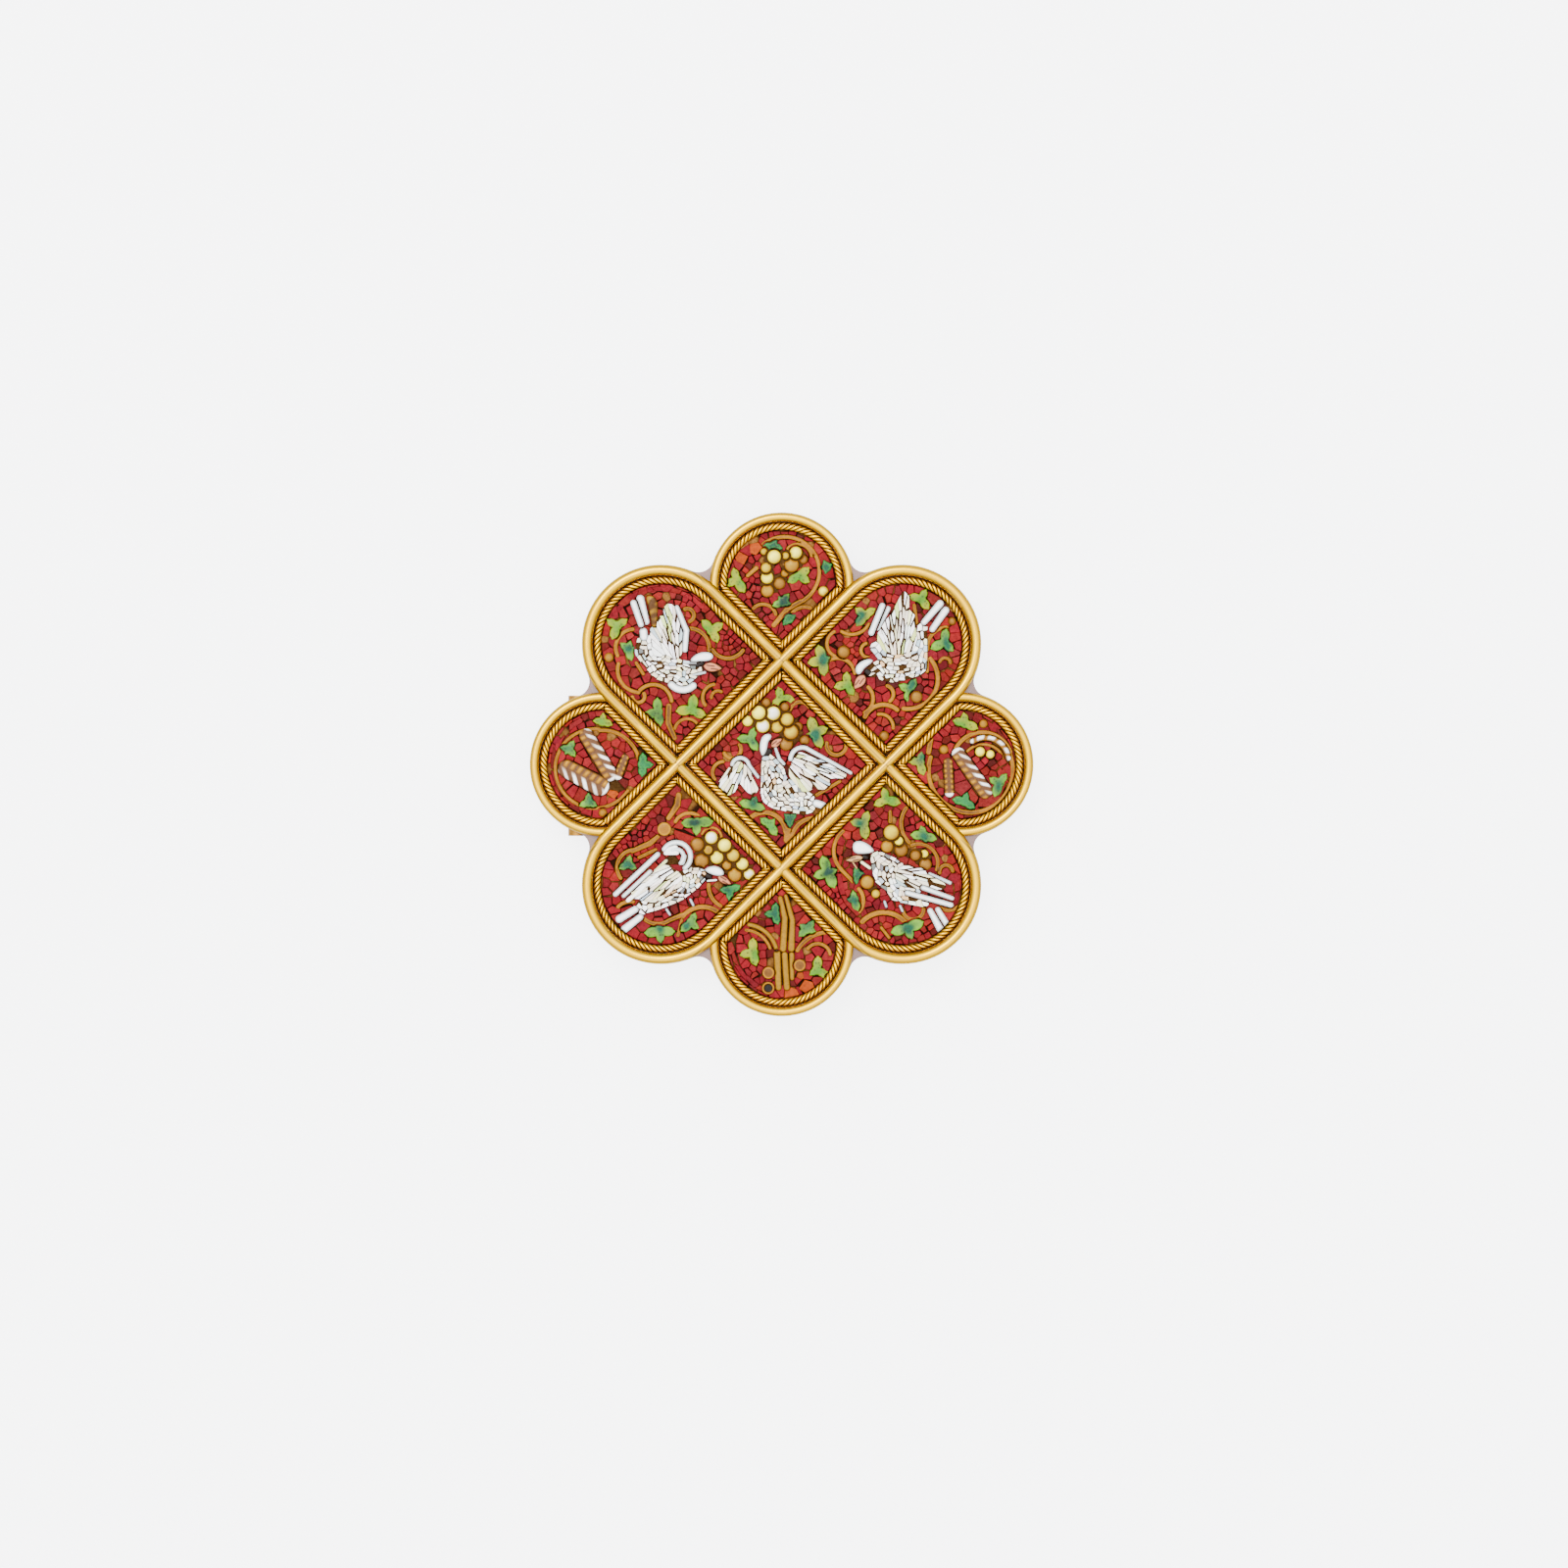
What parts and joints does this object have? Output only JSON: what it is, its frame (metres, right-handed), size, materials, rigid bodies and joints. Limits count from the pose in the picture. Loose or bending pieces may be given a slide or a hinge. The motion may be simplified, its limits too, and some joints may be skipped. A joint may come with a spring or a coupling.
{
  "type": "micromosaic brooch",
  "caption": "Gold brooch with a lobed cross outline, its rope-edged cells filled with raised micromosaic doves, vine, leaves and fruit, and a pin fitting behind.",
  "frame": {"origin": "middle of the surface patch that the brooch lies on, under the centre of its face", "axes": "+Z is the way the mosaic face looks, +Y the top of the design, +X its right-hand side"},
  "size_m": [0.0462, 0.0462, 0.0067],
  "materials": {
    "gold_case": "polished yellow gold, softly worn",
    "gold_fitting": "polished yellow gold",
    "gold_rope": "twisted gold wire, dark between the strands",
    "cement": "matt brown mastic",
    "white_smalti": "opaque glass, ground smooth",
    "tan_smalti": "opaque glass, ribbed",
    "yellow_smalti": "opaque glass, domed",
    "green_smalti": "opaque glass, softly modelled",
    "ochre_smalti": "opaque glass threads",
    "red_smalti": "opaque glass, cut faces"
  },
  "bodies": {
    "root": {"case": "gold_case", "cement_centre": "cement", "cement_east": "cement", "cement_north": "cement", "cement_northeast": "cement", "cement_northwest": "cement", "cement_south": "cement", "cement_southeast": "cement", "cement_southwest": "cement", "cement_west": "cement", "dove_centre": "white_smalti", "dove_northeast": "white_smalti", "dove_northwest": "white_smalti", "dove_southeast": "white_smalti", "dove_southwest": "white_smalti", "fruit_centre": "yellow_smalti", "fruit_north": "yellow_smalti", "fruit_northeast": "yellow_smalti", "fruit_southeast": "yellow_smalti", "fruit_southwest": "yellow_smalti", "ground_centre": "red_smalti", "ground_east": "red_smalti", "ground_north": "red_smalti", "ground_northeast": "red_smalti", "ground_northwest": "red_smalti", "ground_south": "red_smalti", "ground_southeast": "red_smalti", "ground_southwest": "red_smalti", "ground_west": "red_smalti", "leaves_centre": "green_smalti", "leaves_east": "green_smalti", "leaves_north": "green_smalti", "leaves_northeast": "green_smalti", "leaves_northwest": "green_smalti", "leaves_south": "green_smalti", "leaves_southeast": "green_smalti", "leaves_southwest": "green_smalti", "leaves_west": "green_smalti", "pin_fitting": "gold_fitting", "pods_east": "tan_smalti", "pods_west": "tan_smalti", "rope_centre": "gold_rope", "rope_east": "gold_rope", "rope_north": "gold_rope", "rope_northeast": "gold_rope", "rope_northwest": "gold_rope", "rope_south": "gold_rope", "rope_southeast": "gold_rope", "rope_southwest": "gold_rope", "rope_west": "gold_rope", "vine_centre": "ochre_smalti", "vine_east": "ochre_smalti", "vine_north": "ochre_smalti", "vine_northeast": "ochre_smalti", "vine_northwest": "ochre_smalti", "vine_south": "ochre_smalti", "vine_southeast": "ochre_smalti", "vine_southwest": "ochre_smalti", "vine_west": "ochre_smalti"}
  },
  "joints": []
}
